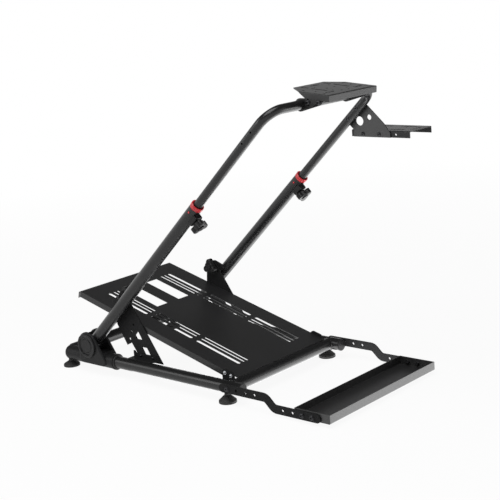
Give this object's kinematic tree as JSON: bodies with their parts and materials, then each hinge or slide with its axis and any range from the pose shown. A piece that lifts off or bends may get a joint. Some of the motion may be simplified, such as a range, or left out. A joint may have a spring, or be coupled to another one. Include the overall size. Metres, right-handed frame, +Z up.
{
  "type": "racing wheel stand",
  "caption": "Folding tubular stand that holds a gaming steering wheel, pedals and shifter, with a sloping pedal plate, sliding upper tube and caster tray.",
  "frame": {"origin": "on the floor, under the centre of the stand's bounding box", "axes": "+Z up, -Y towards the driver, +X towards the shifter side"},
  "size_m": [0.6646, 1.17, 0.9371],
  "materials": {
    "black_powder_coat": "satin black powder coat",
    "sheet_black": "matte black powder coat on sheet",
    "moulded_black": "moulded black plastic",
    "pivot_cover": "moulded black cover on a plain pin",
    "foot_rubber": "black rubber",
    "red_collar": "red plastic bush",
    "knob_plastic": "black moulded grip",
    "black_bolts": "black oxide steel"
  },
  "bodies": {
    "base": {"rear_cross_tube": "black_powder_coat", "front_cross_tube": "black_powder_coat", "pedal_plate": "sheet_black", "caster_tray": "sheet_black", "left_rail": "black_powder_coat", "right_rail": "black_powder_coat", "left_rail_cap": "moulded_black", "right_rail_cap": "moulded_black", "left_corner_joint": "moulded_black", "right_corner_joint": "moulded_black", "left_pivot_pin": "pivot_cover", "right_pivot_pin": "pivot_cover", "left_front_foot": "foot_rubber", "right_front_foot": "foot_rubber", "left_rear_foot": "foot_rubber", "right_rear_foot": "foot_rubber", "left_plate_ear": "black_powder_coat", "right_plate_ear": "black_powder_coat", "left_brace": "black_powder_coat", "right_brace": "black_powder_coat", "left_brace_bracket": "black_powder_coat", "right_brace_bracket": "black_powder_coat", "left_tray_arm": "black_powder_coat", "right_tray_arm": "black_powder_coat"},
    "arms": {"left_lower_arm": "black_powder_coat", "right_lower_arm": "black_powder_coat", "left_arm_lug": "black_powder_coat", "right_arm_lug": "black_powder_coat", "left_collar": "red_collar", "right_collar": "red_collar", "left_clamp_block": "knob_plastic", "right_clamp_block": "knob_plastic"},
    "wheel_frame": {"upper_tube": "black_powder_coat", "left_wheel_ear": "black_powder_coat", "right_wheel_ear": "black_powder_coat", "left_deck_bolts": "black_bolts", "right_deck_bolts": "black_bolts", "shifter_gusset": "sheet_black", "shifter_plate": "sheet_black"},
    "wheel_deck": {"wheel_plate": "sheet_black"},
    "left_clamp_knob": {"left_clamp_knob": "knob_plastic"},
    "left_brace_knob": {"left_brace_knob": "knob_plastic"},
    "right_clamp_knob": {"right_clamp_knob": "knob_plastic"},
    "right_brace_knob": {"right_brace_knob": "knob_plastic"}
  },
  "joints": [
    {"name": "arm_fold", "type": "hinge", "parent": "base", "child": "arms", "pos_m": [-0.05075, 0.43, 0.098], "axis": [1, 0, 0], "range_deg": [0, 34]},
    {"name": "height_slide", "type": "slide", "parent": "arms", "child": "wheel_frame", "axis": [0, -0.7325, 0.6807], "range_m": [-0.22, 0.06]},
    {"name": "wheel_tilt", "type": "hinge", "parent": "wheel_frame", "child": "wheel_deck", "pos_m": [-0.05075, -0.49501, 0.90098], "axis": [1, 0, 0], "range_deg": [-10, 8]},
    {"name": "left_clamp_turn", "type": "hinge", "parent": "arms", "child": "left_clamp_knob", "pos_m": [-0.29675, -0.08791, 0.57927], "axis": [0, -0.6807, -0.7325], "continuous": true},
    {"name": "left_brace_turn", "type": "hinge", "parent": "base", "child": "left_brace_knob", "pos_m": [-0.26505, 0.2913, 0.27193], "axis": [1, 0, 0], "continuous": true},
    {"name": "right_clamp_turn", "type": "hinge", "parent": "arms", "child": "right_clamp_knob", "pos_m": [0.19525, -0.08791, 0.57927], "axis": [0, -0.6807, -0.7325], "continuous": true},
    {"name": "right_brace_turn", "type": "hinge", "parent": "base", "child": "right_brace_knob", "pos_m": [0.16355, 0.2913, 0.27193], "axis": [1, 0, 0], "continuous": true}
  ]
}
